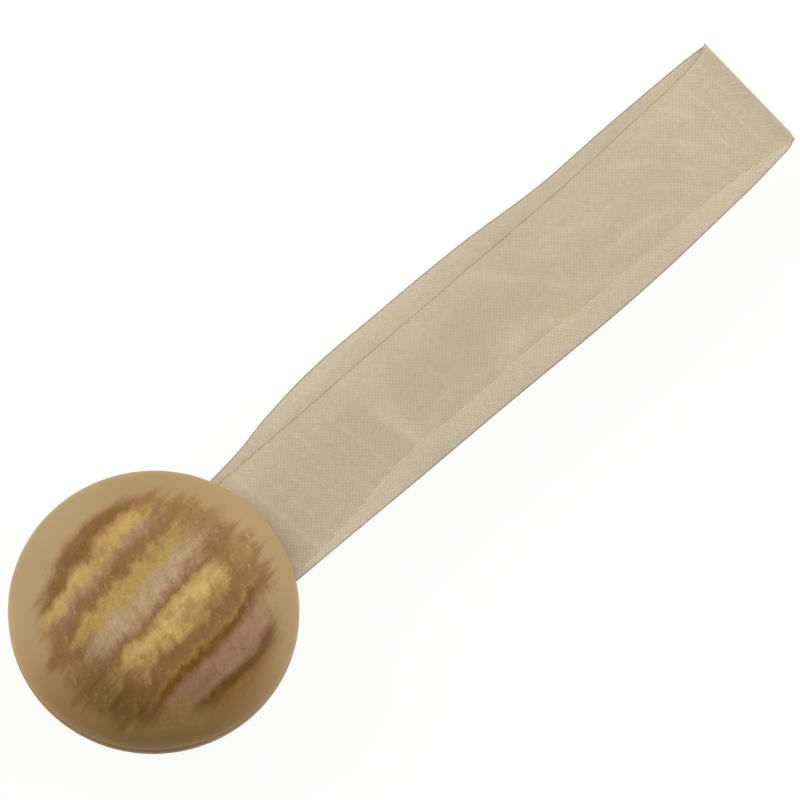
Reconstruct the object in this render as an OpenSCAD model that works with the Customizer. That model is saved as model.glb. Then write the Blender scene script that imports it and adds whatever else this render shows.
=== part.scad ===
// Magnetic curtain tieback in millimetres: two cast resin buttons, each with a disc magnet,
// clasped back to back and joined by one sheer ribbon that is folded in two.
// X runs along the ribbon from the buttons to the fold, Z is up and the floor is z = 0.

/* [Button] */
// Outside diameter of a button
button_d = 45; // [38:0.5:60]
// Height of the cast cap from its back face to its crown
cap_h = 8.5; // [8:0.1:11]
// Diameter of the small flat on the crown, on which the piece lies
table_d = 12; // [8:0.5:16]
// Radius of the shoulder between the dome and the rim
shoulder_r = 4; // [3:0.1:5]
// Height of the widest line above the back face of the cap
rim_z = 0.9; // [0.8:0.1:1.6]
// Rounding of the edge at the back face of the cap
edge_r = 0.5; // [0.3:0.1:0.7]

/* [Back plate] */
// Thickness of the plate that closes the back of the cap
plate_t = 1; // [0.8:0.1:1.5]
// Width of the rim of the cap round the plate
rim_w = 1.8; // [1.2:0.1:3]
// Bevel on the outer edge of the plate
plate_bevel = 0.3; // [0.1:0.1:0.6]
// Wall of the collar that centres the plate in the cap
collar_t = 0.8; // [0.6:0.1:1.2]
// Height of the collar above the plate
collar_h = 1; // [0.6:0.1:1.2]

/* [Magnet] */
// Diameter of the disc magnet
magnet_d = 18; // [12:0.5:20]
// Thickness of the disc magnet
magnet_t = 3; // [2.6:0.1:4]
// Bevel on both edges of the magnet
magnet_bevel = 0.3; // [0.1:0.1:0.5]
// Gap between the two buttons when they are clasped
clasp_gap = 0.1; // [0.05:0.05:0.5]

/* [Ribbon] */
// Width of the ribbon
ribbon_w = 21; // [12:0.5:25]
// Thickness of the woven edges
selvedge_t = 0.3; // [0.24:0.02:0.5]
// Width of each woven edge
selvedge_w = 1; // [0.6:0.1:2]
// Thickness of the sheer web between the edges
web_t = 0.2; // [0.1:0.02:0.22]
// From the axis of the buttons to the tip of the fold
fold_reach = 128; // [90:1:160]
// How far the glued end of the ribbon shows beyond the rim
root_out = 1; // [0.5:0.1:3]
// Sideways bow of the rear layer
rear_bow = 2.6; // [0:0.1:4]
// How far the bow of the rear layer leans to the buttons
rear_lean = 0.5; // [0:0.1:1.5]
// How far to the side the front end of the ribbon is glued
front_side = 1.4; // [0:0.1:2]
// Sideways bow of the front layer
front_bow = 1.6; // [0:0.1:4]
// How far the bow of the front layer leans to the fold
front_lean = 0.4; // [0:0.1:1.5]

/* [Fits] */
// Gap round the magnet, filled by glue
magnet_fit = 0.2; // [0.1:0.05:0.4]
// Gap between the collar and its pocket
collar_fit = 0.15; // [0.05:0.05:0.3]
// Gap round the plate in its recess
plate_fit = 0.15; // [0.05:0.05:0.3]
// Gap on each side of the ribbon in its slot
slot_fit = 0.3; // [0.1:0.05:0.6]

/* [Hidden] */
$fn = 96;

// Sides of the clasp: the front button faces up and the rear button faces down
FRONT = 1;
REAR = -1;

// Radii of the button, the recess for its plate, and its pocket
button_r = button_d / 2;
table_r = table_d / 2;
recess_r = button_r - rim_w;
plate_r = recess_r - plate_fit;
window_r = magnet_d / 2 + magnet_fit;
collar_r = window_r + collar_t;
pocket_r = collar_r + collar_fit;

// Heights from the middle of the clasp: back of the button, and the two faces of a layer
back_z = clasp_gap / 2;
layer_in = back_z + plate_t;
layer_out = layer_in + selvedge_t;
layer_mid = (layer_in + layer_out) / 2;
clasp_z = back_z + cap_h;

// Places along the ribbon, from the axis of the buttons
tab_x = pocket_r + slot_fit;
root_x = button_r + root_out;
fold_x = fold_reach - layer_out;
flex_x = (root_x + fold_x) / 2;
button_x = (button_r - fold_reach) / 2;

// The dome is an arc tangent to the crown flat and to the shoulder arc
dome_run = button_r - shoulder_r - table_r;
dome_rise = cap_h - rim_z;
dome_r = (dome_run ^ 2 + dome_rise ^ 2 - shoulder_r ^ 2) / (2 * (dome_rise - shoulder_r));
dome_end = asin(dome_run / (dome_r - shoulder_r));

layer_steps = 12;
resin_tone = [0.70, 0.60, 0.42];
plate_tone = [0.42, 0.37, 0.30];
magnet_tone = [0.75, 0.76, 0.78];
organza_tone = [0.78, 0.71, 0.59];

// Points of an arc of radius r round c, with angles from +X towards +Y
function arc(c, r, from, to, steps) =
  [for (i = [0:steps]) let(a = from + (to - from) * i / steps) c + r * [cos(a), sin(a)]];

// Half section of the cap, with its back face at height 0
function cap_outline() = concat(
  [[0, 0]],
  arc([button_r - edge_r, edge_r], edge_r, -90, 0, 6),
  arc([button_r - shoulder_r, rim_z], shoulder_r, 0, 90 - dome_end, 10),
  arc([table_r, cap_h - dome_r], dome_r, 90 - dome_end, 90, 16),
  [[0, cap_h]]
);

// Sideways place of a glued end of the ribbon
function end_y(side) = side == FRONT ? -front_side : 0;

// Sideways place of a layer at x, from its glued end to the middle at the fold
function bow(side, x) =
  let(share = max(0, x - root_x) / (fold_x - root_x), turn = 180 * share)
  end_y(side) * (1 - share) +
    (side == REAR ? rear_bow * sin(turn) + rear_lean * sin(2 * turn)
                  : -front_bow * sin(turn) + front_lean * sin(2 * turn));

// Even steps along the ribbon between two places
function steps(from, to) = [for (i = [0:layer_steps]) from + (to - from) * i / layer_steps];

// Points of a layer at the places xs, at a distance off to the side of its middle
function layer_line(side, xs, off) = [for (x = xs) [x, bow(side, x) + off]];

// Points of line in reverse order
function turned(line) = [for (i = [len(line) - 1:-1:0]) line[i]];

// Draws its children on the front button, or mirrored on the rear button
module on_button(side) {
  translate([button_x, 0, clasp_z])
    mirror([0, 0, side == REAR ? 1 : 0])
      children();
}

// A flat strip of thickness t between two lines, at the height of a layer
module strip(line_a, line_b, t) {
  translate([0, 0, layer_mid - t / 2])
    linear_extrude(t)
      polygon(concat(line_a, turned(line_b)));
}

// One stretch of a layer through the places xs: the sheer web and its two woven edges
module layer(side, xs) {
  half = ribbon_w / 2;
  inner = half - selvedge_w;
  color(organza_tone)
    on_button(side) {
      strip(layer_line(side, xs, -inner), layer_line(side, xs, inner), web_t);
      for (s = [-1, 1])
        strip(layer_line(side, xs, s * inner), layer_line(side, xs, s * half), selvedge_t);
    }
}

// Half of a tube of wall t and length w, round the fold line
module half_tube(t, w) {
  rotate([90, 0, 0])
    linear_extrude(w, center = true)
      difference() {
        circle(layer_mid + t / 2);
        circle(layer_mid - t / 2);
        translate([-2 * layer_out, -2 * layer_out])
          square([2 * layer_out, 4 * layer_out]);
      }
}

// Cast cap with a recess for the plate, a pocket for the magnet and a slot for the ribbon in its back
module cap(side) {
  on_button(side)
    difference() {
      translate([0, 0, back_z])
        rotate_extrude()
          polygon(cap_outline());
      cylinder(r = recess_r, h = layer_in);
      cylinder(r = pocket_r, h = back_z + magnet_t);
      translate([0, end_y(side) - ribbon_w / 2 - slot_fit, 0])
        cube([button_r, ribbon_w + 2 * slot_fit, layer_out]);
    }
}

// Disc magnet, flush with the face of its plate
module magnet(side) {
  r = magnet_d / 2;
  on_button(side)
    translate([0, 0, back_z])
      rotate_extrude()
        polygon([
          [0, 0],
          [r - magnet_bevel, 0],
          [r, magnet_bevel],
          [r, magnet_t - magnet_bevel],
          [r - magnet_bevel, magnet_t],
          [0, magnet_t]
        ]);
}

// Plate with a window for the magnet, a collar that centres it, and a tongue that closes the slot
module back_plate(side) {
  on_button(side)
    translate([0, 0, back_z]) {
      rotate_extrude()
        polygon([
          [window_r, 0],
          [plate_r - plate_bevel, 0],
          [plate_r, plate_bevel],
          [plate_r, plate_t],
          [collar_r, plate_t],
          [collar_r, plate_t + collar_h],
          [window_r, plate_t + collar_h]
        ]);
      linear_extrude(plate_t)
        intersection() {
          translate([collar_r, end_y(side) - ribbon_w / 2])
            square([button_r, ribbon_w]);
          circle(button_r - edge_r);
        }
    }
}

module rear_cap() { color(resin_tone) cap(REAR); }
module rear_magnet() { color(magnet_tone) magnet(REAR); }
module rear_back_plate() { color(plate_tone) back_plate(REAR); }
module front_cap() { color(resin_tone) cap(FRONT); }
module front_magnet() { color(magnet_tone) magnet(FRONT); }
module front_back_plate() { color(plate_tone) back_plate(FRONT); }

// Rear layer from its glued end to its middle, and from there to the fold
module ribbon_rear_inner() { layer(REAR, concat([tab_x], steps(root_x, flex_x))); }
module ribbon_rear_outer() { layer(REAR, steps(flex_x, fold_x)); }

// The turn of the ribbon at its fold
module ribbon_fold() {
  color(organza_tone)
    translate([button_x + fold_x, 0, clasp_z]) {
      half_tube(web_t, ribbon_w);
      for (s = [-1, 1])
        translate([0, s * (ribbon_w - selvedge_w) / 2, 0])
          half_tube(selvedge_t, selvedge_w);
    }
}

// Front layer from the fold to its middle, from there to the button, and its glued end
module ribbon_front_outer() { layer(FRONT, steps(flex_x, fold_x)); }
module ribbon_front_inner() { layer(FRONT, steps(root_x, flex_x)); }
module ribbon_front_tab() { layer(FRONT, [tab_x, root_x]); }

rear_cap();
rear_magnet();
rear_back_plate();
ribbon_rear_inner();
ribbon_rear_outer();
ribbon_fold();
ribbon_front_outer();
ribbon_front_inner();
ribbon_front_tab();
front_back_plate();
front_magnet();
front_cap();
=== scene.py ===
import math

import bmesh
import bpy
import numpy as np
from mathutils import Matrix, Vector


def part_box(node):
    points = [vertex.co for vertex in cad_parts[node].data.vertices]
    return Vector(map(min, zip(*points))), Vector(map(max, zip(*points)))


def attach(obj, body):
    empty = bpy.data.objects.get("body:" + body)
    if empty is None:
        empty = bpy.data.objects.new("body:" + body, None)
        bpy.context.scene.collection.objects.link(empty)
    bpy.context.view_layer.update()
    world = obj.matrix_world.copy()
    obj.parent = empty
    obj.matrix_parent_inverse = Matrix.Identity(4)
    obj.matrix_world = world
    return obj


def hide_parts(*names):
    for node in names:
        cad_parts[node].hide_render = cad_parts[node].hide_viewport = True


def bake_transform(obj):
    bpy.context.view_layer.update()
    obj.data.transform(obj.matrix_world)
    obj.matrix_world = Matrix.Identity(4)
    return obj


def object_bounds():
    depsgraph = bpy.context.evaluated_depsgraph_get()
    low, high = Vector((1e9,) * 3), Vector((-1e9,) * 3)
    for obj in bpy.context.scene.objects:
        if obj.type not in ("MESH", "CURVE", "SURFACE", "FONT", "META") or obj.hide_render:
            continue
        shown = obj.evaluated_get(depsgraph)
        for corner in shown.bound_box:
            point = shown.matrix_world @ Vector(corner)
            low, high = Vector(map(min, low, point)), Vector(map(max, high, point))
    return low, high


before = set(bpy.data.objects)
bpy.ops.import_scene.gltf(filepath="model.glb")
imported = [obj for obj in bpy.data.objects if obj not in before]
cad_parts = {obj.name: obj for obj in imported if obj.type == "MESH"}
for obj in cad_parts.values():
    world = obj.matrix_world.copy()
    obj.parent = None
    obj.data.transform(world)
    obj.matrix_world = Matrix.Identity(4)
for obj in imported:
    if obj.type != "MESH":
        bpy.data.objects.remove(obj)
cad_low, cad_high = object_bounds()


# Caps
# Each button is a domed cap of cast resin. Brown, gold and lilac pearl is poured into the beige resin
# and combed, so feathered bands run across the crown. The back has a recess for the plate, a pocket for
# the magnet and a slot for the end of the ribbon.

MM = 0.001
FRONT, REAR = 1, -1

cap_low, cap_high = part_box("front_cap")
tab_low, tab_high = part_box("ribbon_front_tab")
AXIS_X = (cap_low.x + cap_high.x) / 2
MIDDLE_Z = (cad_low.z + cad_high.z) / 2
CAP_R = (cap_high.x - cap_low.x) / 2
CAP_BACK = cap_low.z - MIDDLE_Z
CAP_H = cap_high.z - cap_low.z
CROWN_R = 6.0 * MM
SHOULDER_R = 4.0 * MM
RIM_H = 0.9 * MM
EDGE_R = 0.5 * MM
RECESS_R = 20.7 * MM
RECESS_H = tab_low.z - cap_low.z
POCKET_R = 10.15 * MM
POCKET_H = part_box("front_magnet")[1].z - cap_low.z
SLOT_SIDE = 0.3 * MM
SLOT_W = tab_high.y - tab_low.y + 2 * SLOT_SIDE
SLOT_H = tab_high.z - cap_low.z
END_Y = {FRONT: (tab_low.y + tab_high.y) / 2, REAR: 0.0}
LATHE_STEPS = 160
SHARP_ANGLE = math.radians(35)

# The pearl: how its bands are turned on each button and their fibres lean, the middle and reach of their
# field in millimetres, and how much they close in towards their ends
BAND_TURN = {FRONT: math.radians(8.5), REAR: math.radians(-31)}
FIBRE_LEAN = math.radians(58)
BAND_CENTRE = (-0.7, -1.8, 0)
BAND_REACH = (20.0, 17.0)
BAND_PINCH = 0.0008
# How often each texture changes per millimetre along the bands or fibres, across them, and in depth
FIBRES = (0.36, 0.85, 0.3)
FEATHER = (0.20, 0.34, 0.2)
WANDER = (0.06, 0.14, 0.05)
RAGGED = (0.07, 0.85, 0.02)
PATCHY = (0.12, 0.28, 0.10)
PATCHES = (0.16, 0.30, 0.10)
SPECKS = (0.50, 0.80, 0.5)
FLAKES = (2.5, 2.5, 2.5)
CLOUD = (0.12, 0.12, 0.12)
# How far the textures push the bands and their ends, in millimetres
FIBRE_PUSH = 2.0
FEATHER_PUSH = 5.5
WANDER_PUSH = 4.5
RAGGED_PUSH = 7.0
PATCHY_PUSH = 12.0
# Where, in millimetres from the axis, the bands are combed most, thin out, fray, stop short, and turn dark
# with streaks and painted shade
COMBED_ACROSS = (16.0, 9.0)
THIN_MIDDLE = -1.2
THIN_ALONG = (7.5, 14.5)
FRAY_ALONG = (3.0, 13.0)
SHORT_MIDDLE = 0.5
SHORT_ALONG = (6.5, 12.0)
SHORT_ACROSS = (-11.5, -14.0)
DARK_ALONG = (-10.5, -16.5)
DARK_ACROSS = (3.0, -3.0)
# Painted shade on the plain resin, darker to the far side and browner to the near: which way, from where to
# where
FAR_SHADE_SIDE = (0.35, 0.94, 0)
FAR_SHADE_FADE = (2.0, 20.0)
NEAR_SHADE_SIDE = (-0.78, -0.62, 0)
NEAR_SHADE_FADE = (4.0, 20.0)
BEIGE = (0.322, 0.220, 0.099)
# Beige in painted shade, for the far side of the plain resin
FAR_SHADE_BEIGE = (0.262, 0.182, 0.081)
TAN = (0.240, 0.125, 0.034)
UMBER = (0.140, 0.061, 0.008)
BROWN = (0.205, 0.108, 0.037)
OLIVE = (0.098, 0.056, 0.008)
MAUVE = (0.280, 0.164, 0.095)
LILAC = (0.360, 0.262, 0.150)
AMBER = (0.270, 0.150, 0.042)
STRAW = (0.362, 0.244, 0.078)
GOLD = (0.450, 0.322, 0.112)
# Bands from one side of the crown to the other: place in millimetres, colour and share of pearl
BANDS = [
    (-21.0, TAN, 0.0), (-18.8, TAN, 0.0), (-18.0, OLIVE, 0.0), (-17.3, UMBER, 0.0),
    (-16.2, MAUVE, 0.3), (-14.0, MAUVE, 0.3), (-12.6, UMBER, 0.1), (-11.9, UMBER, 0.1),
    (-11.0, AMBER, 0.2), (-10.0, BROWN, 0.1), (-8.5, BROWN, 0.1), (-7.0, STRAW, 0.5),
    (-5.6, GOLD, 0.6), (-4.4, GOLD, 0.6), (-3.6, STRAW, 0.4), (-2.7, BROWN, 0.2),
    (-1.5, MAUVE, 0.3), (0.0, LILAC, 0.5), (1.6, LILAC, 0.4), (3.0, STRAW, 0.4),
    (5.0, STRAW, 0.4), (6.0, BROWN, 0.1), (7.4, BROWN, 0.1), (9.2, MAUVE, 0.3),
    (10.6, STRAW, 0.4), (12.2, STRAW, 0.5), (13.0, AMBER, 0.2), (13.6, UMBER, 0.0),
    (15.1, UMBER, 0.0), (16.5, BEIGE, 0.0),
]


def add_node(tree, kind, sockets=None, **settings):
    """Adds a node; each socket takes a value, or a link if it is given another node's output."""
    node = tree.nodes.new(kind)
    for name, value in settings.items():
        setattr(node, name, value)
    for name, value in (sockets or {}).items():
        if isinstance(value, bpy.types.NodeSocket):
            tree.links.new(value, node.inputs[name])
        else:
            node.inputs[name].default_value = value
    return node


def new_material(name, **values):
    """A material with one Principled shader, and the plain values of its sockets."""
    material = bpy.data.materials.new(name)
    material.use_nodes = True
    shader = material.node_tree.nodes["Principled BSDF"]
    for socket, value in values.items():
        shader.inputs[socket.replace("_", " ")].default_value = value
    return material, material.node_tree, shader


def math_node(tree, operation, *values, clamp=False):
    """The output of a Math node."""
    sockets = dict(enumerate(values))
    return add_node(tree, "ShaderNodeMath", sockets, operation=operation, use_clamp=clamp).outputs[0]


def noise(tree, place, stretch, detail, roughness=0.5):
    """Noise from -0.5 to 0.5, with a frequency per millimetre for each direction."""
    scaled = add_node(tree, "ShaderNodeVectorMath", {0: place, 1: stretch}, operation="MULTIPLY")
    sockets = {"Vector": scaled.outputs[0], "Scale": 1.0, "Detail": detail, "Roughness": roughness}
    value = add_node(tree, "ShaderNodeTexNoise", sockets).outputs["Fac"]
    return math_node(tree, "SUBTRACT", value, 0.5)


def smooth_share(tree, value, start, end):
    """A value from 0 at start to 1 at end, with soft ends."""
    sockets = {"Value": value, "From Min": start, "From Max": end}
    return add_node(tree, "ShaderNodeMapRange", sockets, interpolation_type="SMOOTHSTEP").outputs[0]


def mixed_colour(tree, share, first, second):
    """The colour between two others: a Mix node's colours are its sockets 6 and 7."""
    return add_node(tree, "ShaderNodeMix", {0: share, 6: first, 7: second}, data_type="RGBA").outputs[2]


def place_in_mm(tree, axis_x=0.0, turn=0.0):
    """A place on the object in millimetres from an upright axis, in a frame turned about that axis."""
    place = add_node(tree, "ShaderNodeTexCoord").outputs["Object"]
    sockets = {"Vector": place, "Location": (axis_x, 0, 0), "Rotation": (0, 0, turn), "Scale": (MM, MM, MM)}
    return add_node(tree, "ShaderNodeMapping", sockets, vector_type="TEXTURE").outputs[0]


def shaded(tree, colour, shade):
    """A colour made lighter or darker."""
    sockets = {0: colour, "Scale": shade}
    return add_node(tree, "ShaderNodeVectorMath", sockets, operation="SCALE").outputs[0]


def add_bumps(tree, shader, height, strength, distance):
    """Gives a finish small bumps."""
    bump = add_node(tree, "ShaderNodeBump", {"Height": height, "Strength": strength, "Distance": distance})
    tree.links.new(bump.outputs[0], shader.inputs["Normal"])


def along_direction(tree, place, direction, fade):
    """A share that grows from 0 to 1 along a direction from the axis."""
    at = add_node(tree, "ShaderNodeVectorMath", {0: place, 1: direction}, operation="DOT_PRODUCT")
    return smooth_share(tree, at.outputs["Value"], *fade)


def pearl_resin(name, turn):
    """Beige cast resin with a field of combed pearl bands on the crown, turned about the axis."""
    material, tree, shader = new_material(name, Roughness=0.5, Specular_IOR_Level=0.15)
    place = place_in_mm(tree, AXIS_X, turn)
    parts = add_node(tree, "ShaderNodeSeparateXYZ", {0: place})
    along, across = parts.outputs["X"], parts.outputs["Y"]
    along_squared = math_node(tree, "MULTIPLY", along, along)

    # The bands close in towards their ends, wander, and are combed into slanting fibres
    sockets = {"Vector": place, "Rotation": (0, 0, FIBRE_LEAN)}
    slanted = add_node(tree, "ShaderNodeMapping", sockets, vector_type="TEXTURE").outputs[0]
    fibres = noise(tree, slanted, FIBRES, 4.0, 0.66)
    feather = noise(tree, slanted, FEATHER, 5.0, 0.62)
    wander = noise(tree, place, WANDER, 2.0)
    pinch = math_node(tree, "MULTIPLY_ADD", along_squared, BAND_PINCH, 1.0)
    line = math_node(tree, "MULTIPLY", across, pinch)
    line = math_node(tree, "MULTIPLY_ADD", wander, WANDER_PUSH, line)
    combed = math_node(tree, "MULTIPLY", fibres, FIBRE_PUSH)
    combed = math_node(tree, "MULTIPLY_ADD", feather, FEATHER_PUSH, combed)
    middle = smooth_share(tree, math_node(tree, "ABSOLUTE", across), *COMBED_ACROSS)
    combing = math_node(tree, "MULTIPLY_ADD", middle, 0.8, 0.2)
    line = math_node(tree, "MULTIPLY_ADD", combed, combing, line)
    first, last = BANDS[0][0], BANDS[-1][0]
    line = add_node(tree, "ShaderNodeMapRange", {"Value": line, "From Min": first, "From Max": last})
    ramp = add_node(tree, "ShaderNodeValToRGB", {"Fac": line.outputs[0]})
    stops = ramp.color_ramp.elements
    while len(stops) < len(BANDS):
        stops.new(0.5)
    for stop, (at, colour, pearl) in zip(stops, BANDS):
        stop.position = (at - first) / (last - first)
        stop.color = (*colour, pearl)

    # The pearl thins out to brown in patches and towards the ends, and gold specks lie over the middle
    ragged = noise(tree, place, RAGGED, 3.0)
    patchy = noise(tree, place, PATCHY, 4.0, 0.6)
    far = math_node(tree, "ABSOLUTE", math_node(tree, "SUBTRACT", along, THIN_MIDDLE))
    far = math_node(tree, "MULTIPLY_ADD", ragged, RAGGED_PUSH, far)
    far = math_node(tree, "MULTIPLY_ADD", patchy, PATCHY_PUSH, far)
    ending = math_node(tree, "MULTIPLY", smooth_share(tree, far, *THIN_ALONG), 0.85)
    patches = smooth_share(tree, noise(tree, place, PATCHES, 4.0, 0.65), -0.02, 0.15)
    thin = math_node(tree, "MULTIPLY_ADD", patches, 0.4, ending, clamp=True)
    bands = mixed_colour(tree, thin, ramp.outputs["Color"], (*BROWN, 1))
    specks = smooth_share(tree, noise(tree, slanted, SPECKS, 5.0, 0.72), 0.04, 0.20)
    specks = math_node(tree, "MULTIPLY", specks, math_node(tree, "MULTIPLY", middle, 0.6))
    bands = mixed_colour(tree, specks, bands, (*STRAW, 1))

    # One end has dark streaks laid over an even painted shade, both ends fray, and the last bands on one
    # side stop short
    # Painted shade: an even share of olive darkens that end, and the ragged streaks add more
    streaks_and_shade = math_node(tree, "MULTIPLY_ADD", smooth_share(tree, ragged, -0.03, 0.09), 0.6, 0.35)
    streaks_and_shade = math_node(tree, "MULTIPLY", streaks_and_shade, smooth_share(tree, along, *DARK_ALONG))
    streaks_and_shade = math_node(tree, "MULTIPLY", streaks_and_shade, smooth_share(tree, across, *DARK_ACROSS))
    bands = mixed_colour(tree, streaks_and_shade, bands, (*OLIVE, 1))
    flat = add_node(tree, "ShaderNodeVectorMath", {0: place, 1: (1, 1, 0)}, operation="MULTIPLY")
    sockets = {0: flat.outputs[0], 1: BAND_CENTRE}
    reach = add_node(tree, "ShaderNodeVectorMath", sockets, operation="DISTANCE").outputs["Value"]
    fray = smooth_share(tree, math_node(tree, "ABSOLUTE", along), *FRAY_ALONG)
    fray = math_node(tree, "MULTIPLY", fray, RAGGED_PUSH)
    reach = math_node(tree, "MULTIPLY_ADD", ragged, fray, reach)
    field = smooth_share(tree, reach, *BAND_REACH)
    short = math_node(tree, "ABSOLUTE", math_node(tree, "SUBTRACT", along, SHORT_MIDDLE))
    short = smooth_share(tree, short, *SHORT_ALONG)
    short = math_node(tree, "MULTIPLY", short, smooth_share(tree, across, *SHORT_ACROSS))
    field_kept = math_node(tree, "MULTIPLY", field, math_node(tree, "SUBTRACT", 1.0, short))

    # Fibres and fine flakes of pearl sparkle in the bands, and the plain resin is cloudy
    flakes = noise(tree, place, FLAKES, 2.0, 0.7)
    cloud = noise(tree, place, CLOUD, 2.0)
    sparkle = math_node(tree, "MULTIPLY_ADD", fibres, 0.7, math_node(tree, "MULTIPLY", flakes, 0.6))
    grain = math_node(tree, "MULTIPLY_ADD", sparkle, field, 1.0)
    grain = math_node(tree, "MULTIPLY_ADD", cloud, 0.12, grain)
    # Painted shade: the plain resin turns darker towards the far side, and darker and browner, towards tan,
    # on the near side
    far_shade = along_direction(tree, place, FAR_SHADE_SIDE, FAR_SHADE_FADE)
    near_shade = math_node(tree, "MULTIPLY", along_direction(tree, place, NEAR_SHADE_SIDE, NEAR_SHADE_FADE), 0.6)
    plain = mixed_colour(tree, far_shade, (*BEIGE, 1), (*FAR_SHADE_BEIGE, 1))
    plain = mixed_colour(tree, near_shade, plain, (*TAN, 1))
    colour = mixed_colour(tree, field_kept, plain, bands)
    tree.links.new(shaded(tree, colour, grain), shader.inputs["Base Color"])
    pearl = math_node(tree, "MULTIPLY", ramp.outputs["Alpha"], field_kept)
    tree.links.new(math_node(tree, "MULTIPLY", pearl, 0.2), shader.inputs["Metallic"])
    add_bumps(tree, shader, cloud, 0.06, 2 * MM)
    return material


def arc(centre, radius, start, end, steps):
    """Points of an arc in a section, with angles in radians from the radius towards the height."""
    angles = np.linspace(start, end, steps + 1)
    return [(centre[0] + radius * math.cos(a), centre[1] + radius * math.sin(a)) for a in angles]


def cap_section():
    """Half section of a cap, from its pocket and recess round the rim and over the dome."""
    run = CAP_R - SHOULDER_R - CROWN_R
    rise = CAP_H - RIM_H
    dome_r = (run**2 + rise**2 - SHOULDER_R**2) / (2 * (rise - SHOULDER_R))
    lean = math.pi / 2 - math.asin(run / (dome_r - SHOULDER_R))
    section = [(0, POCKET_H), (POCKET_R, POCKET_H), (POCKET_R, RECESS_H)]
    section += [(RECESS_R, RECESS_H), (RECESS_R, 0)]
    section += arc((CAP_R - EDGE_R, EDGE_R), EDGE_R, -math.pi / 2, 0, 8)
    section += arc((CAP_R - SHOULDER_R, RIM_H), SHOULDER_R, 0, lean, 20)
    section += arc((CROWN_R, CAP_H - dome_r), dome_r, lean, math.pi / 2, 24)[1:]
    section += [(CROWN_R * share, CAP_H) for share in (0.75, 0.5, 0.25, 0)]
    return section


def lathe(section, back, side):
    """A turned shape about the button's axis; heights count outwards from back on that side."""
    mesh = bmesh.new()
    rings = []
    for radius, height in section:
        z = MIDDLE_Z + side * (back + height)
        turns = LATHE_STEPS if radius > 0 else 1
        angles = [2 * math.pi * i / LATHE_STEPS for i in range(turns)]
        rings.append([
            mesh.verts.new((AXIS_X + radius * math.cos(a), radius * math.sin(a), z)) for a in angles
        ])
    for inner, outer in zip(rings, rings[1:]):
        for i in range(LATHE_STEPS):
            k = (i + 1) % LATHE_STEPS
            corners = [(inner, i), (inner, k), (outer, k), (outer, i)]
            mesh.faces.new(dict.fromkeys(ring[j % len(ring)] for ring, j in corners))
    bmesh.ops.recalc_face_normals(mesh, faces=mesh.faces)
    return mesh


def new_object(name, source, material):
    """An object at the origin from a bmesh, smooth but for its sharp edges."""
    data = bpy.data.meshes.new(name)
    source.to_mesh(data)
    source.free()
    data.shade_smooth()
    data.set_sharp_from_angle(angle=SHARP_ANGLE)
    data.materials.append(material)
    made = bpy.data.objects.new(name, data)
    bpy.context.scene.collection.objects.link(made)
    return made


def settle(made):
    """Turns the live modifiers of an object into plain mesh."""
    graph = bpy.context.evaluated_depsgraph_get()
    data = bpy.data.meshes.new_from_object(made.evaluated_get(graph))
    made.modifiers.clear()
    made.data = data


def cut_slot(cap, side):
    """Cuts the slot for the ribbon's end into the back of a cap."""
    cutter = bmesh.new()
    bmesh.ops.create_cube(cutter, size=1)
    size = Vector((2 * CAP_R, SLOT_W, 2 * SLOT_H))
    place = Vector((AXIS_X + CAP_R, END_Y[side], MIDDLE_Z + side * CAP_BACK))
    for corner in cutter.verts:
        corner.co = corner.co * size + place
    tool = new_object("slot_cutter", cutter, cap.data.materials[0])
    cut = cap.modifiers.new("slot", "BOOLEAN")
    cut.object = tool
    cut.operation = "DIFFERENCE"
    cut.solver = "EXACT"
    settle(cap)
    bpy.data.objects.remove(tool)


for name, side in (("front", FRONT), ("rear", REAR)):
    resin = pearl_resin(f"{name}_pearl_resin", BAND_TURN[side])
    cap = new_object(f"{name}_cap_cast", lathe(cap_section(), CAP_BACK, side), resin)
    cut_slot(cap, side)
    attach(cap, f"{name}_button")
    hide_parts(f"{name}_cap")


# Magnets
# A nickel-plated disc magnet is glued in the pocket of each cap and shows through the window of the plate.
# The plating is dulled to a satin by handling, with faint rings from tumbling and a few fine scratches.

NICKEL = (0.270, 0.262, 0.248)
SCRATCHES = (0.5, 9.0, 1.0)
STAINS = (0.25, 0.25, 0.25)
RINGS = {"Scale": 0.9, "Distortion": 1.5, "Detail": 3.0, "Detail Scale": 3.0}


def nickel_plating():
    """Dulled nickel with stains, rings and scratches."""
    material, tree, shader = new_material("nickel_plating", Metallic=1.0)
    place = place_in_mm(tree, AXIS_X)
    sockets = {"Vector": place, **RINGS}
    rings = add_node(tree, "ShaderNodeTexWave", sockets, wave_type="RINGS", rings_direction="Z")
    scratches = noise(tree, place, SCRATCHES, 4.0, 0.7)
    stains = noise(tree, place, STAINS, 3.0)
    shade = math_node(tree, "MULTIPLY_ADD", stains, 0.25, 1.0)
    tree.links.new(shaded(tree, NICKEL, shade), shader.inputs["Base Color"])
    rough = math_node(tree, "MULTIPLY_ADD", scratches, 0.4, 0.55)
    tree.links.new(rough, shader.inputs["Roughness"])
    height = math_node(tree, "MULTIPLY_ADD", rings.outputs["Fac"], 0.6, scratches)
    add_bumps(tree, shader, height, 0.12, 0.1 * MM)
    return material


def refinish(name, material):
    """Gives a piece of the CAD model another material."""
    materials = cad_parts[name].data.materials
    materials.clear()
    materials.append(material)


plating = nickel_plating()
for name in ("front_magnet", "rear_magnet"):
    refinish(name, plating)


# Ribbon
# One length of sheer organza joins the buttons: a plain weave of glossy polyester threads with a firm
# thread along each edge. Its ends are glued in the slots of the caps, and it is folded in two at a pressed
# crease. In between its layers part and bow to opposite sides, and one free edge curls down a little.

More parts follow.
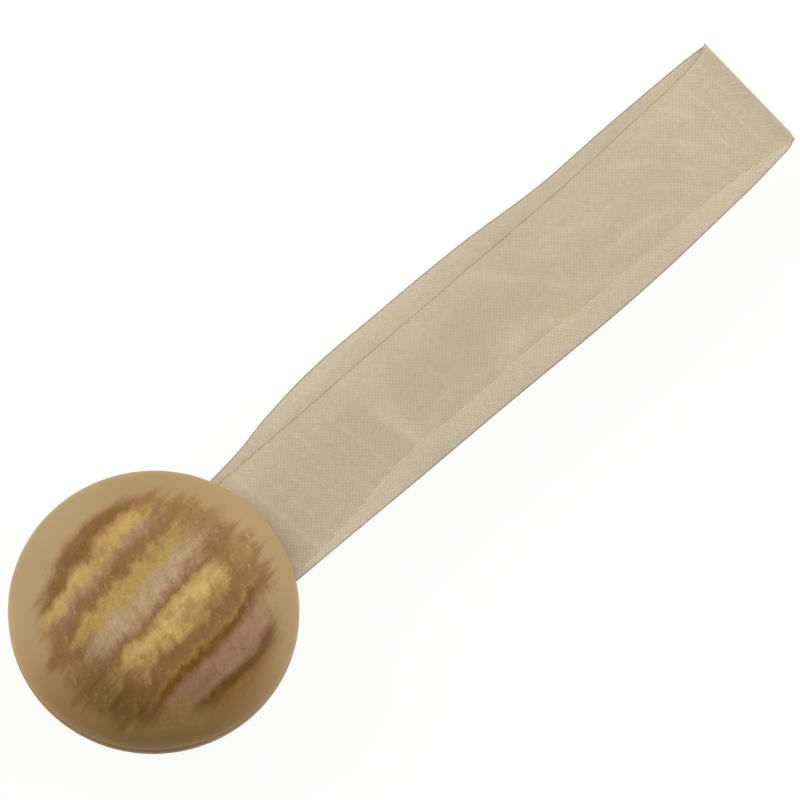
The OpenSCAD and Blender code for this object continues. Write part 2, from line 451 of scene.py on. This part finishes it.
fold_low, fold_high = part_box("ribbon_fold")
RIBBON_W = tab_high.y - tab_low.y
TAB_X = tab_low.x
ROOT_X = tab_high.x
FOLD_X = fold_low.x
FLEX_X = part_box("ribbon_front_inner")[1].x
CREASE_R = 0.4 * MM
CREASE_OUT = 0.2 * MM
CREASE_X = fold_high.x - CREASE_R + CREASE_OUT
LAYER_L = CREASE_X - TAB_X
RIBBON_L = 2 * LAYER_L + math.pi * CREASE_R

# The run of each layer, as pairs in millimetres of the distance from the buttons' axis and a value:
# the sideways place of its middle, half its width, and its height from the middle of the clasp
SIDE = {
    FRONT: [
        (10, -1.4), (28, -1.68), (60, -2.1), (96, -2.58), (112, -1.89), (120, -1.38), (124, -0.95),
        (126, -0.64), (127.8, 0.12),
    ],
    REAR: [
        (10, 0), (23, 0.2), (31, 1.0), (37, 2.05), (44, 2.85), (60, 2.85), (76, 2.6), (92, 1.65),
        (108, 1.65), (120, 1.02), (124, 0.66), (126, 0.4), (127.8, 0.12),
    ],
}
HALF = {
    FRONT: [
        (10, 10.0), (28, 10.08), (60, 10.32), (80, 10.53), (96, 10.58), (112, 10.5), (124, 10.54),
        (127.8, 10.72),
    ],
    REAR: [(10, 10.0), (28, 10.15), (60, 10.3), (120, 10.3), (124, 10.5), (127.8, 10.72)],
}
RISE = {
    FRONT: [
        (10, 1.2), (23.5, 1.2), (60, 1.8), (95, 2.3), (112, 1.75), (122, 0.8), (126.6, 0.42),
        (127.8, 0.4),
    ],
    REAR: [(10, 1.2), (23.5, 1.2), (60, 1.5), (95, 1.5), (115, 1.0), (126.6, 0.42), (127.8, 0.4)],
}
SLOPE_STEP = 0.5 * MM
# The curl of the free edge: how deep, from where across the ribbon, and where it grows and dies out along it
EDGE_CURL = {FRONT: 0.8 * MM, REAR: 0.0}
CURL_FROM = 4.5 * MM
CURL_GROWS = (24 * MM, 50 * MM)
CURL_DIES = (114 * MM, 126 * MM)
# The crease: over what distance before it the layers turn square to it, its skew, and its rounded corner
SQUARE_FROM = 20 * MM
SQUARE_BY = 2 * MM
CREASE_SKEW = 0.28 * MM
CORNER_ROUND = 0.3 * MM
CORNER_L = 1 * MM
CORNER_ACROSS = (9.3 * MM, 10.5 * MM)
# The threads, and the plain sheet that they are laid on
THREAD_PITCH = 0.36 * MM
WARP_W = 0.348 * MM
WEFT_W = 0.190 * MM
THREAD_T = 0.03 * MM
CRIMP = 0.015 * MM
EDGE_W = 0.30 * MM
EDGE_T = 0.06 * MM
SHEET_MARGIN = 0.6 * MM
SHEET_STEP = 0.6 * MM
ORGANZA = (0.728, 0.645, 0.482)
# The edge thread is darker than the rest: partly its denser weave, partly a painted shadow line along the
# edge
EDGE_ORGANZA = (0.520, 0.440, 0.300)
SHINE_THROUGH = 0.45
SLUBS = (1.6, 1.6, 1.6)
DRIFT = (0.05, 0.12, 0.05)
TRIANGLE_R = 0.577


def smooth_step(value, start, end):
    """A share from 0 at start to 1 at end, with soft ends."""
    share = np.clip((value - start) / (end - start), 0, 1)
    return share * share * (3 - 2 * share)


def through(points, x):
    """A smooth curve through (place, offset) points in millimetres, at x in metres from the axis."""
    at, offset = np.array(points, float).T * MM
    slope = np.gradient(offset, at)
    x = np.clip(x, at[0], at[-1])
    i = np.clip(np.searchsorted(at, x, side="right") - 1, 0, len(at) - 2)
    width = at[i + 1] - at[i]
    t = (x - at[i]) / width
    start = (2 * t**3 - 3 * t**2 + 1) * offset[i] + (t**3 - 2 * t**2 + t) * width * slope[i]
    end = (3 * t**2 - 2 * t**3) * offset[i + 1] + (t**3 - t**2) * width * slope[i + 1]
    return start + end


def layer_point(side, x, across):
    """The middle surface of one layer, at x along the object and at a place across the ribbon."""
    out = x - AXIS_X
    before, after = through(SIDE[side], out - SLOPE_STEP), through(SIDE[side], out + SLOPE_STEP)
    slope = (after - before) / (2 * SLOPE_STEP)
    slope *= 1 - smooth_step(x, CREASE_X - SQUARE_FROM, CREASE_X - SQUARE_BY)
    beside = across * through(HALF[side], out) / (RIBBON_W / 2)
    curl = np.clip((-across - CURL_FROM) / (RIBBON_W / 2 - CURL_FROM), 0, None) ** 2
    curl *= smooth_step(out, *CURL_GROWS) * (1 - smooth_step(out, *CURL_DIES))
    height = MIDDLE_Z + side * through(RISE[side], out) - EDGE_CURL[side] * curl
    return np.stack([x - beside * slope, through(SIDE[side], out) + beside, height], -1)


def ribbon_point(along, across):
    """The ribbon's middle surface, along from its end in the rear cap over the crease to the front cap."""
    rear = layer_point(REAR, np.minimum(TAB_X + along, CREASE_X), across)
    front = layer_point(FRONT, np.minimum(TAB_X + RIBBON_L - along, CREASE_X), across)
    place = np.where((along < RIBBON_L / 2)[..., None], rear, front)
    turn = np.clip((along - LAYER_L) / CREASE_R, 0, math.pi)
    bent = (turn > 0) & (turn < math.pi)
    place[..., 2] = np.where(bent, MIDDLE_Z - CREASE_R * np.cos(turn), place[..., 2])
    corner = smooth_step(-across, *CORNER_ACROSS)
    corner = corner * smooth_step(place[..., 0], CREASE_X - CORNER_L, CREASE_X)
    place[..., 0] += CREASE_R * np.sin(turn) - CORNER_ROUND * corner
    skew = CREASE_SKEW * across / (RIBBON_W / 2)
    place[..., 0] += skew * smooth_step(place[..., 0], CREASE_X - SQUARE_FROM, CREASE_X)
    return place


def ribbon_sheet(name, start, end):
    """A plain sheet a little larger than a stretch of the ribbon, with the place in its weave as UV."""
    length = end - start
    rows = math.ceil((length + 2 * SHEET_MARGIN) / SHEET_STEP) + 1
    columns = math.ceil((RIBBON_W + 2 * SHEET_MARGIN) / SHEET_STEP) + 1
    along = np.linspace(start - SHEET_MARGIN, end + SHEET_MARGIN, rows)
    across = np.linspace(-RIBBON_W / 2 - SHEET_MARGIN, RIBBON_W / 2 + SHEET_MARGIN, columns)
    grid = np.stack(np.meshgrid(along, across, indexing="ij"), -1)
    points = ribbon_point(grid[..., 0], grid[..., 1]).reshape(-1, 3)
    index = np.arange(rows * columns).reshape(rows, columns)
    corners = [index[:-1, :-1], index[1:, :-1], index[1:, 1:], index[:-1, 1:]]
    faces = np.stack(corners, -1).reshape(-1, 4)
    data = bpy.data.meshes.new(name)
    data.from_pydata(points.tolist(), [], faces.tolist())
    data.shade_smooth()
    place = (grid - (start, -RIBBON_W / 2)).reshape(-1, 2)
    weave = data.uv_layers.new(name="weave")
    weave.data.foreach_set("uv", place[faces.ravel()].astype(np.float32).ravel())
    made = bpy.data.objects.new(name, data)
    bpy.context.scene.collection.objects.link(made)
    return made


def thread_material(name, colour):
    """Glossy polyester thread, a little uneven in colour, that lets some light through."""
    material, tree, shader = new_material(name, Roughness=0.42, Specular_IOR_Level=0.3)
    place = place_in_mm(tree)
    slubs = noise(tree, place, SLUBS, 3.0, 0.75)
    drift = noise(tree, place, DRIFT, 2.0)
    shade = math_node(tree, "MULTIPLY_ADD", slubs, 0.36, 1.0)
    shade = math_node(tree, "MULTIPLY_ADD", drift, 0.14, shade)
    tone = shaded(tree, colour, shade)
    tree.links.new(tone, shader.inputs["Base Color"])
    glow = add_node(tree, "ShaderNodeBsdfTranslucent", {"Color": tone})
    sockets = {0: SHINE_THROUGH, 1: shader.outputs[0], 2: glow.outputs[0]}
    both = add_node(tree, "ShaderNodeMixShader", sockets)
    tree.links.new(both.outputs[0], tree.nodes["Material Output"].inputs["Surface"])
    return material


def weave_tree():
    """Geometry nodes that weave threads in the flat and lay them on a sheet by its weave coordinates."""
    tree = bpy.data.node_groups.new("organza_weave", "GeometryNodeTree")
    face = tree.interface
    face.new_socket("Sheet", in_out="INPUT", socket_type="NodeSocketGeometry")
    sizes = ["Length", "Width", "Pick pitch", "End pitch", "Warp width", "Weft width"]
    sizes += ["Thread thickness", "Crimp", "Edge width", "Edge thickness"]
    for name in sizes:
        face.new_socket(name, in_out="INPUT", socket_type="NodeSocketFloat")
    for name in ("Picks", "Ends"):
        face.new_socket(name, in_out="INPUT", socket_type="NodeSocketInt")
    for name in ("Thread", "Edge thread"):
        face.new_socket(name, in_out="INPUT", socket_type="NodeSocketMaterial")
    face.new_socket("Ribbon", in_out="OUTPUT", socket_type="NodeSocketGeometry")
    given = add_node(tree, "NodeGroupInput").outputs
    place = add_node(tree, "GeometryNodeInputPosition").outputs[0]
    order = add_node(tree, "GeometryNodeInputIndex").outputs[0]

    def vector(x=0.0, y=0.0, z=0.0):
        """A vector from its three parts."""
        return add_node(tree, "ShaderNodeCombineXYZ", {"X": x, "Y": y, "Z": z}).outputs[0]

    def profile(width, thickness):
        """The section of a thread, pressed flat from a triangle whose sides are 1."""
        sockets = {"Resolution": 3, "Radius": TRIANGLE_R}
        circle = add_node(tree, "GeometryNodeCurvePrimitiveCircle", sockets, mode="RADIUS")
        sockets = {"Geometry": circle.outputs[0], "Scale": vector(width, thickness, 1.0)}
        return add_node(tree, "GeometryNodeTransform", sockets).outputs[0]

    def run(count, pitch, length, axis):
        """One thread in the flat: a point at each crossing and one at each end."""
        points = math_node(tree, "ADD", count, 2)
        line = add_node(tree, "GeometryNodeMeshLine", {"Count": points})
        at = math_node(tree, "MULTIPLY", math_node(tree, "SUBTRACT", order, 0.5), pitch)
        at = math_node(tree, "MINIMUM", math_node(tree, "MAXIMUM", at, 0.0), length)
        sockets = {"Geometry": line.outputs[0], "Position": vector(**{axis: at})}
        placed = add_node(tree, "GeometryNodeSetPosition", sockets)
        return add_node(tree, "GeometryNodeMeshToCurve", {"Mesh": placed.outputs[0]}).outputs[0]

    def row(thread, count, first, pitch, axis):
        """A row of like threads side by side."""
        start, offset = vector(**{axis: first}), vector(**{axis: pitch})
        sockets = {"Count": count, "Start Location": start, "Offset": offset}
        line = add_node(tree, "GeometryNodeMeshLine", sockets)
        sockets = {"Points": line.outputs[0], "Instance": thread}
        placed = add_node(tree, "GeometryNodeInstanceOnPoints", sockets)
        return add_node(tree, "GeometryNodeRealizeInstances", {"Geometry": placed.outputs[0]}).outputs[0]

    def tube(threads, section):
        """Solid threads from their lines and their section."""
        upright = add_node(tree, "GeometryNodeSetCurveNormal", {"Curve": threads}, mode="Z_UP")
        sockets = {"Curve": upright.outputs[0], "Profile Curve": section, "Fill Caps": True}
        return add_node(tree, "GeometryNodeCurveToMesh", sockets).outputs[0]

    def crimped(threads, sign):
        """Threads that pass over and under each other in turn."""
        spot = add_node(tree, "ShaderNodeSeparateXYZ", {0: place})
        pick = math_node(tree, "DIVIDE", spot.outputs["X"], given["Pick pitch"])
        end = math_node(tree, "DIVIDE", spot.outputs["Y"], given["End pitch"])
        turn = math_node(tree, "SUBTRACT", math_node(tree, "ADD", pick, end), 1.0)
        wave = math_node(tree, "COSINE", math_node(tree, "MULTIPLY", turn, math.pi))
        height = math_node(tree, "MULTIPLY", wave, math_node(tree, "MULTIPLY", given["Crimp"], sign))
        sockets = {"Geometry": threads, "Offset": vector(z=height)}
        return add_node(tree, "GeometryNodeSetPosition", sockets).outputs[0]

    def finished(flat, material):
        """Lays flat threads on the sheet and gives them their material."""
        flat = add_node(tree, "GeometryNodeRealizeInstances", {"Geometry": flat}).outputs[0]
        spot = add_node(tree, "ShaderNodeSeparateXYZ", {0: place})
        uv = vector(spot.outputs["X"], spot.outputs["Y"])
        sockets = {"Name": "weave"}
        weave = add_node(tree, "GeometryNodeInputNamedAttribute", sockets, data_type="FLOAT_VECTOR")
        found = []
        for value in (place, add_node(tree, "GeometryNodeInputNormal").outputs[0]):
            sockets = {"Mesh": given["Sheet"], "Value": value, "UV Map": weave.outputs[0], "Sample UV": uv}
            sample = add_node(tree, "GeometryNodeSampleUVSurface", sockets, data_type="FLOAT_VECTOR")
            found.append(sample.outputs[0])
        sockets = {0: found[1], "Scale": spot.outputs["Z"]}
        off = add_node(tree, "ShaderNodeVectorMath", sockets, operation="SCALE")
        laid = add_node(tree, "ShaderNodeVectorMath", {0: found[0], 1: off.outputs[0]}, operation="ADD")
        laid = add_node(tree, "GeometryNodeSetPosition", {"Geometry": flat, "Position": laid.outputs[0]})
        sockets = {"Geometry": laid.outputs[0], "Shade Smooth": False}
        faceted = add_node(tree, "GeometryNodeSetShadeSmooth", sockets)
        sockets = {"Geometry": faceted.outputs[0], "Material": material}
        return add_node(tree, "GeometryNodeSetMaterial", sockets).outputs[0]

    half_end = math_node(tree, "MULTIPLY", given["End pitch"], 0.5)
    half_pick = math_node(tree, "MULTIPLY", given["Pick pitch"], 0.5)
    warp = run(given["Picks"], given["Pick pitch"], given["Length"], "x")
    warp = row(warp, given["Ends"], half_end, given["End pitch"], "y")
    weft = run(given["Ends"], given["End pitch"], given["Width"], "y")
    weft = row(weft, given["Picks"], half_pick, given["Pick pitch"], "x")
    threads = add_node(tree, "GeometryNodeJoinGeometry")
    for thread, sign, width in ((warp, 1.0, "Warp width"), (weft, -1.0, "Weft width")):
        section = profile(given[width], given["Thread thickness"])
        tree.links.new(tube(crimped(thread, sign), section), threads.inputs[0])
    half_edge = math_node(tree, "MULTIPLY", given["Edge width"], 0.5)
    apart = math_node(tree, "SUBTRACT", given["Width"], given["Edge width"])
    edges = run(given["Picks"], given["Pick pitch"], given["Length"], "x")
    edges = row(edges, 2, half_edge, apart, "y")
    edges = tube(edges, profile(given["Edge width"], given["Edge thickness"]))
    whole = add_node(tree, "GeometryNodeJoinGeometry")
    tree.links.new(finished(threads.outputs[0], given["Thread"]), whole.inputs[0])
    tree.links.new(finished(edges, given["Edge thread"]), whole.inputs[0])
    tree.links.new(whole.outputs[0], add_node(tree, "NodeGroupOutput").inputs[0])
    return tree


def woven(sheet, length, tree, thread, edge):
    """Weaves the organza on a sheet and leaves it as plain mesh."""
    picks = 2 * round(length / THREAD_PITCH / 2)
    ends = 2 * round(RIBBON_W / THREAD_PITCH / 2)
    values = {
        "Length": length, "Width": RIBBON_W, "Pick pitch": length / picks, "End pitch": RIBBON_W / ends,
        "Warp width": WARP_W, "Weft width": WEFT_W, "Thread thickness": THREAD_T, "Crimp": CRIMP,
        "Edge width": EDGE_W, "Edge thickness": EDGE_T, "Picks": picks, "Ends": ends,
        "Thread": thread, "Edge thread": edge,
    }
    weave = sheet.modifiers.new("weave", "NODES")
    weave.node_group = tree
    for item in tree.interface.items_tree:
        if item.in_out == "INPUT" and item.name in values:
            weave[item.identifier] = values[item.name]
    settle(sheet)


# Stretches of the ribbon: where each ends along it, its two bodies, and where it starts and stops bending
FOLD_MIDDLE = RIBBON_L / 2
OUTER_X = (FLEX_X + FOLD_X) / 2
INNER_X = (FLEX_X + ROOT_X) / 2
BEND = 5 * MM
FOLD_BEND = 1.5 * MM
STRETCHES = [
    ("ribbon_rear", OUTER_X - TAB_X, ("rear_button", "rear_outer_stretch"), FLEX_X - BEND, FLEX_X + BEND),
    ("ribbon_fold_rear", FOLD_MIDDLE, ("rear_outer_stretch", "fold_turn"), FOLD_X - FOLD_BEND, FOLD_X + MM),
    (
        "ribbon_fold_front", RIBBON_L - OUTER_X + TAB_X, ("fold_turn", "front_outer_stretch"),
        fold_high.x, FOLD_X - FOLD_BEND,
    ),
    (
        "ribbon_front", RIBBON_L - INNER_X + TAB_X, ("front_outer_stretch", "front_inner_stretch"),
        FLEX_X + BEND, FLEX_X - BEND,
    ),
    ("ribbon_front_end", RIBBON_L, ("front_inner_stretch", "front_button"), ROOT_X + BEND, ROOT_X - MM),
]
REPLACED = {
    "ribbon_rear": ["ribbon_rear_inner", "ribbon_rear_outer"],
    "ribbon_fold_rear": ["ribbon_fold"],
    "ribbon_fold_front": ["ribbon_front_outer"],
    "ribbon_front": ["ribbon_front_inner"],
    "ribbon_front_end": ["ribbon_front_tab"],
}
organza_tree = weave_tree()
organza = thread_material("organza_thread", ORGANZA)
organza_edge = thread_material("organza_edge_thread", EDGE_ORGANZA)
start = 0.0
for name, end, bodies, bend_start, bend_end in STRETCHES:
    stretch = ribbon_sheet(name, start, end)
    woven(stretch, end - start, organza_tree, organza, organza_edge)
    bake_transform(stretch)
    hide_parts(*REPLACED[name])
    start = end


# Back plates
# A moulded plate is glued in the recess in the back of each cap, over the end of the ribbon. Its collar
# stands round the magnet, and its satin surface is drab brown like the resin.

PLATE_BROWN = (0.175, 0.115, 0.070)
PLATE_CLOUD = (0.2, 0.2, 0.2)
PLATE_GRAIN = (4.0, 4.0, 4.0)


def moulded_plate():
    """Satin brown plastic with a fine grain."""
    material, tree, shader = new_material("moulded_plate", Roughness=0.55, Specular_IOR_Level=0.2)
    place = place_in_mm(tree, AXIS_X)
    cloud = noise(tree, place, PLATE_CLOUD, 3.0)
    grain = noise(tree, place, PLATE_GRAIN, 2.0)
    shade = math_node(tree, "MULTIPLY_ADD", cloud, 0.3, 1.0)
    shade = math_node(tree, "MULTIPLY_ADD", grain, 0.12, shade)
    tree.links.new(shaded(tree, PLATE_BROWN, shade), shader.inputs["Base Color"])
    add_bumps(tree, shader, grain, 0.15, 0.1 * MM)
    return material


plate_finish = moulded_plate()
for name in ("front_back_plate", "rear_back_plate"):
    refinish(name, plate_finish)


# Floor and light
# The object lies on a white floor before a white backdrop, with only a faint soft shadow. An even, warm sky
# lights it, and two large soft lamps stand behind it to the left and right.

IMAGE_TURN = math.radians(42.95)
AWAY = Vector((math.sin(IMAGE_TURN), math.cos(IMAGE_TURN), 0))
RIGHT = Vector((math.cos(IMAGE_TURN), -math.sin(IMAGE_TURN), 0))
FLOOR_HALF = 3.0
FLOOR_WHITE = (0.97, 0.97, 0.97, 1)
FLOOR_GLOW = 0.92
SKY_TINT = (1, 0.92, 0.8, 1)
SKY_LEVEL = 0.27
WHITE = (1, 1, 1, 1)
# The lamps: their size, distance and rise, and for each its name, its place to the right and its power
LAMP_SIZE = (1.7, 0.8)
LAMP_DISTANCE = 1.2
LAMP_RISE = 0.47
LAMPS = [("left_lamp", -2.0, 23.5), ("right_lamp", 2.0, 20.5)]


def seen_share(tree):
    """1 for what the camera sees straight or in a mirroring surface, and 0 for other light."""
    path = add_node(tree, "ShaderNodeLightPath").outputs
    return math_node(tree, "MAXIMUM", path["Is Camera Ray"], path["Is Glossy Ray"])


floor_mesh = bmesh.new()
bmesh.ops.create_grid(floor_mesh, x_segments=1, y_segments=1, size=FLOOR_HALF)
floor_material, floor_tree, floor_shader = new_material(
    "white_floor", Base_Color=FLOOR_WHITE, Roughness=1.0, Specular_IOR_Level=0.0
)
glow = add_node(floor_tree, "ShaderNodeEmission", {"Color": WHITE, "Strength": 1.0})
share = math_node(floor_tree, "MULTIPLY", seen_share(floor_tree), FLOOR_GLOW)
sockets = {0: share, 1: floor_shader.outputs[0], 2: glow.outputs[0]}
floor_mix = add_node(floor_tree, "ShaderNodeMixShader", sockets)
floor_tree.links.new(floor_mix.outputs[0], floor_tree.nodes["Material Output"].inputs["Surface"])
floor = new_object("floor", floor_mesh, floor_material)

world = bpy.data.worlds.new("studio")
bpy.context.scene.world = world
world.use_nodes = True
sky_tree = world.node_tree
sky = sky_tree.nodes["Background"]
sky.inputs["Color"].default_value = SKY_TINT
sky.inputs["Strength"].default_value = SKY_LEVEL
backdrop = add_node(sky_tree, "ShaderNodeBackground", {"Color": WHITE, "Strength": 1.0})
sockets = {0: seen_share(sky_tree), 1: sky.outputs[0], 2: backdrop.outputs[0]}
sky_mix = add_node(sky_tree, "ShaderNodeMixShader", sockets)
sky_tree.links.new(sky_mix.outputs[0], sky_tree.nodes["World Output"].inputs["Surface"])

for name, side, power in LAMPS:
    light = bpy.data.lights.new(name, "AREA")
    light.shape = "RECTANGLE"
    light.size, light.size_y = LAMP_SIZE
    light.energy = power
    lamp = bpy.data.objects.new(name, light)
    towards = (AWAY + RIGHT * side).normalized() + Vector((0, 0, LAMP_RISE))
    lamp.location = towards.normalized() * LAMP_DISTANCE
    lamp.rotation_euler = towards.to_track_quat("Z", "Y").to_euler()
    bpy.context.scene.collection.objects.link(lamp)


# Camera
# The camera looks down on the object from about a metre above it, tilted by 20 degrees and turned, so that
# the ribbon runs from the buttons at the lower left to its fold at the upper right.

CAMERA_PLACE = Vector((-266.1, -261.3, 1048.4)) * MM
CAMERA_TURN = (math.radians(19.66), math.radians(-0.89), -IMAGE_TURN)
CAMERA_LENS = 318.1
SENSOR_W = 36
CLIP_START = 0.01
camera_data = bpy.data.cameras.new("camera")
camera_data.sensor_width = SENSOR_W
camera_data.lens = CAMERA_LENS
camera_data.clip_start = CLIP_START
camera = bpy.data.objects.new("camera", camera_data)
camera.location = CAMERA_PLACE
camera.rotation_euler = CAMERA_TURN
bpy.context.scene.collection.objects.link(camera)
bpy.context.scene.camera = camera
bpy.context.scene.view_settings.view_transform = "Standard"
